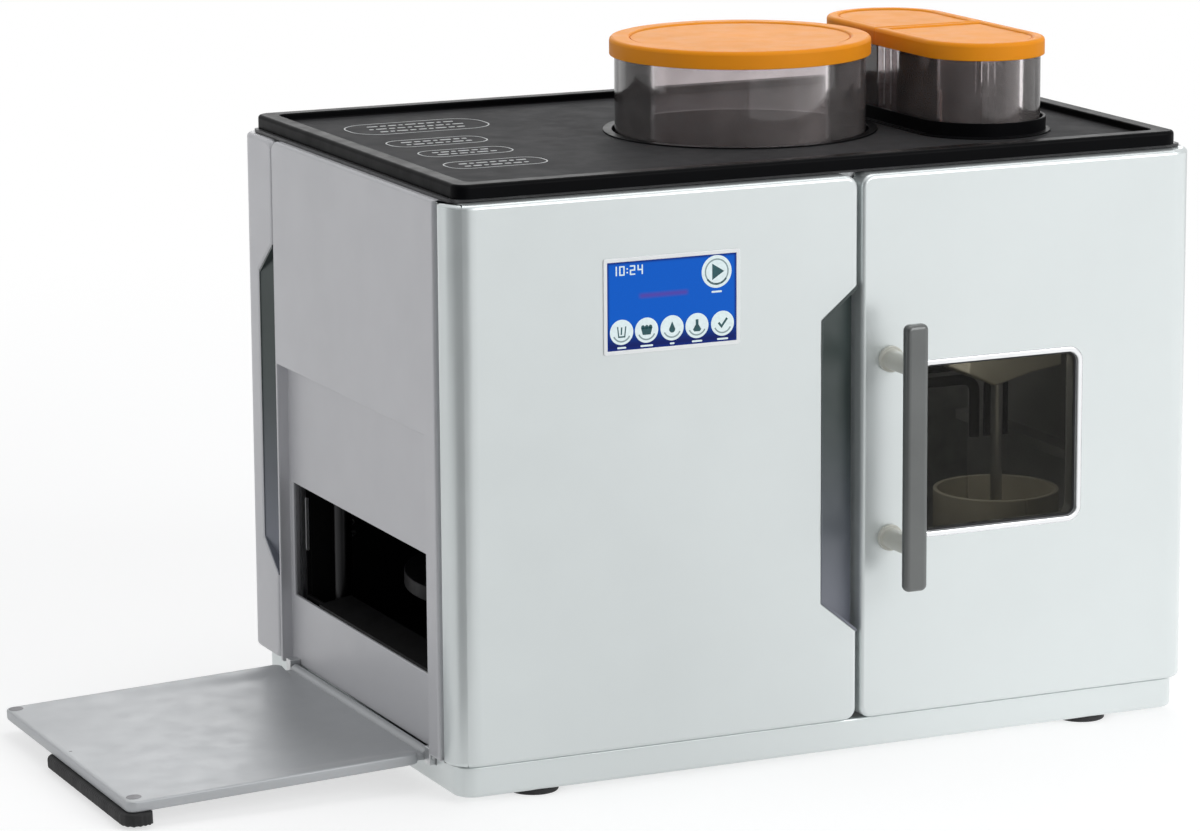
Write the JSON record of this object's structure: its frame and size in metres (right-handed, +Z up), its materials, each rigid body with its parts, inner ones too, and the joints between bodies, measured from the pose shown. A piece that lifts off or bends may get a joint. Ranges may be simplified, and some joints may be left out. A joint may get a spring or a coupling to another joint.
{
  "type": "electric roti maker",
  "caption": "White countertop cabinet with front, rear and window doors, a fold-down exit tray, and lift-out flour, water and oil containers; presses and bakes flatbread.",
  "frame": {"origin": "bottom centre of the whole object at rest, with the exit tray folded down", "axes": "+Z up, front doors face -Y, the exit tray lies towards -X"},
  "size_m": [0.7282, 0.402, 0.446],
  "materials": {
    "white_shell": "pearly white, satin gloss",
    "side_shell": "light grey satin paint",
    "liner": "light grey, matt",
    "deck_black": "charcoal, fine grain",
    "frame_steel": "dark paint",
    "sheet_steel": "zinc plated sheet",
    "cast_alloy": "cast alloy, satin",
    "pin_steel": "ground steel",
    "pull_slate": "slate, satin",
    "bezel_white": "white, glossy",
    "screen_blue": "lit blue glass",
    "trim_silver": "polished edge",
    "smoked_glass": "smoked, clear",
    "handle_grey": "grey anodised",
    "post_white": "pale grey",
    "tray_grey": "light grey satin paint on alloy",
    "magnet": "dark nickel",
    "rubber_black": "moulded rubber",
    "chamber_black": "heat-proof black",
    "platen_dark": "dark non-stick coat",
    "pinion_brass": "turned brass",
    "motor_dark": "dark grey paint",
    "pale_plastic": "pale cream",
    "board_green": "lacquered board",
    "fan_black": "black, matt",
    "smoky_clear": "smoky clear plastic",
    "lid_orange": "orange, satin gloss"
  },
  "bodies": {
    "cabinet": {"base_pan": "white_shell", "rubber_feet": "rubber_black", "left_side_panel": "side_shell", "right_side_panel": "side_shell", "rear_bulkhead": "sheet_steel", "centre_partition": "sheet_steel", "top_frame": "frame_steel", "top_deck": "deck_black", "container_wells": "deck_black", "hinge_pins": "pin_steel", "tray_hinge_brackets": "sheet_steel", "press_chamber": "chamber_black", "guide_columns": "pin_steel", "press_head_plate": "cast_alloy", "platen_stands": "sheet_steel", "gear_motors": "motor_dark", "kneader_head": "pale_plastic", "cup_rails": "cast_alloy", "flour_auger_tube": "pale_plastic", "feed_pumps": "motor_dark", "feed_hoses": "rubber_black", "power_supply": "cast_alloy", "control_board": "board_green", "cooling_fan": "fan_black", "power_inlet": "fan_black"},
    "left_door": {"front_left_door": "white_shell", "left_door_liner": "liner", "left_door_pull": "pull_slate", "display_bezel": "bezel_white", "display_screen": "screen_blue"},
    "right_door_body": {"right_door": "white_shell", "right_door_liner": "liner", "window_trim": "trim_silver", "window_pane": "smoked_glass", "handle_bar": "handle_grey", "handle_posts": "post_white"},
    "rear_door_body": {"rear_door": "white_shell", "rear_door_liner": "liner", "rear_door_pull": "pull_slate"},
    "tray": {"exit_tray": "tray_grey", "tray_magnets": "magnet", "tray_grip": "rubber_black"},
    "press_carriage": {"press_crosshead": "cast_alloy", "upper_platen": "platen_dark"},
    "screw": {"press_screw": "pin_steel"},
    "pinion": {"press_pinion": "pinion_brass"},
    "lower_plate": {"lower_platen": "platen_dark"},
    "blade": {"kneading_blade": "pin_steel"},
    "cup_left": {"cup_half_left": "pale_plastic"},
    "cup_right": {"cup_half_right": "pale_plastic"},
    "auger": {"flour_auger": "pin_steel"},
    "fan_wheel": {"fan_rotor": "fan_black"},
    "power_rocker": {"rocker_switch": "fan_black"},
    "flour_jar": {"flour_container": "smoky_clear"},
    "flour_cap": {"flour_lid": "lid_orange"},
    "agitator": {"flour_agitator": "pale_plastic"},
    "water_jar": {"water_tank": "smoky_clear"},
    "water_cap": {"water_lid": "lid_orange"},
    "oil_jar": {"oil_tank": "smoky_clear"},
    "oil_cap": {"oil_lid": "lid_orange"}
  },
  "joints": [
    {"name": "left_door_hinge", "type": "hinge", "parent": "cabinet", "child": "left_door", "pos_m": [-0.15341, -0.145, 0.201], "axis": [0, 0, -1], "range_deg": [0, 95]},
    {"name": "right_door_hinge", "type": "hinge", "parent": "cabinet", "child": "right_door_body", "pos_m": [0.35359, -0.145, 0.201], "axis": [0, 0, 1], "range_deg": [0, 95]},
    {"name": "rear_door_hinge", "type": "hinge", "parent": "cabinet", "child": "rear_door_body", "pos_m": [0.35359, 0.183, 0.201], "axis": [0, 0, -1], "range_deg": [0, 95]},
    {"name": "tray_hinge", "type": "hinge", "parent": "cabinet", "child": "tray", "pos_m": [-0.15891, 0.007, 0.022], "axis": [0, 1, 0], "range_deg": [0, 92.4]},
    {"name": "press_slide", "type": "slide", "parent": "cabinet", "child": "press_carriage", "axis": [0, 0, 1], "range_m": [-0.056, 0]},
    {"name": "press_screw_turn", "type": "hinge", "parent": "cabinet", "child": "screw", "pos_m": [-0.02241, -0.002, 0.25], "axis": [0, 0, 1], "range_deg": [-1010, 0]},
    {"name": "press_pinion_turn", "type": "hinge", "parent": "cabinet", "child": "pinion", "pos_m": [-0.02241, -0.04415, 0.254], "axis": [0, 0, 1], "range_deg": [0, 2020]},
    {"name": "lower_platen_tilt", "type": "hinge", "parent": "cabinet", "child": "lower_plate", "pos_m": [-0.02241, -0.002, 0.08], "axis": [0, -1, 0], "range_deg": [0, 15]},
    {"name": "kneading_blade_turn", "type": "hinge", "parent": "cabinet", "child": "blade", "pos_m": [0.27459, -0.058, 0.15], "axis": [0, 0, 1], "continuous": true},
    {"name": "cup_right_slide", "type": "slide", "parent": "cabinet", "child": "cup_right", "axis": [1, 0, 0], "range_m": [0, 0.026]},
    {"name": "cup_left_slide", "type": "slide", "parent": "cabinet", "child": "cup_left", "axis": [1, 0, 0], "range_m": [-0.026, 0]},
    {"name": "flour_auger_turn", "type": "hinge", "parent": "cabinet", "child": "auger", "pos_m": [0.21759, -0.043, 0.3145], "axis": [1, 0, 0], "continuous": true},
    {"name": "fan_turn", "type": "hinge", "parent": "cabinet", "child": "fan_wheel", "pos_m": [0.27259, 0.154, 0.239], "axis": [0, 1, 0], "continuous": true},
    {"name": "power_rocker_tip", "type": "hinge", "parent": "cabinet", "child": "power_rocker", "pos_m": [0.35599, 0.157, 0.124], "axis": [0, 1, 0], "range_deg": [0, 16]},
    {"name": "flour_container_lift", "type": "slide", "parent": "cabinet", "child": "flour_jar", "axis": [0, 0, 1], "range_m": [0, 0.08]},
    {"name": "flour_lid_lift", "type": "slide", "parent": "flour_jar", "child": "flour_cap", "axis": [0, 0, 1], "range_m": [0, 0.03]},
    {"name": "flour_agitator_turn", "type": "hinge", "parent": "flour_jar", "child": "agitator", "pos_m": [0.11859, 0.012, 0.345], "axis": [0, 0, 1], "continuous": true},
    {"name": "water_tank_lift", "type": "slide", "parent": "cabinet", "child": "water_jar", "axis": [0, 0, 1], "range_m": [0, 0.08]},
    {"name": "water_lid_lift", "type": "slide", "parent": "water_jar", "child": "water_cap", "axis": [0, 0, 1], "range_m": [0, 0.03]},
    {"name": "oil_tank_lift", "type": "slide", "parent": "cabinet", "child": "oil_jar", "axis": [0, 0, 1], "range_m": [0, 0.08]},
    {"name": "oil_lid_lift", "type": "slide", "parent": "oil_jar", "child": "oil_cap", "axis": [0, 0, 1], "range_m": [0, 0.03]}
  ],
  "couplings": [
    {"joint": "press_screw_turn", "follows": "press_slide", "rad_per_m": 314.16},
    {"joint": "press_pinion_turn", "follows": "press_slide", "rad_per_m": -628.32},
    {"joint": "cup_left_slide", "follows": "cup_right_slide", "ratio": -1}
  ]
}
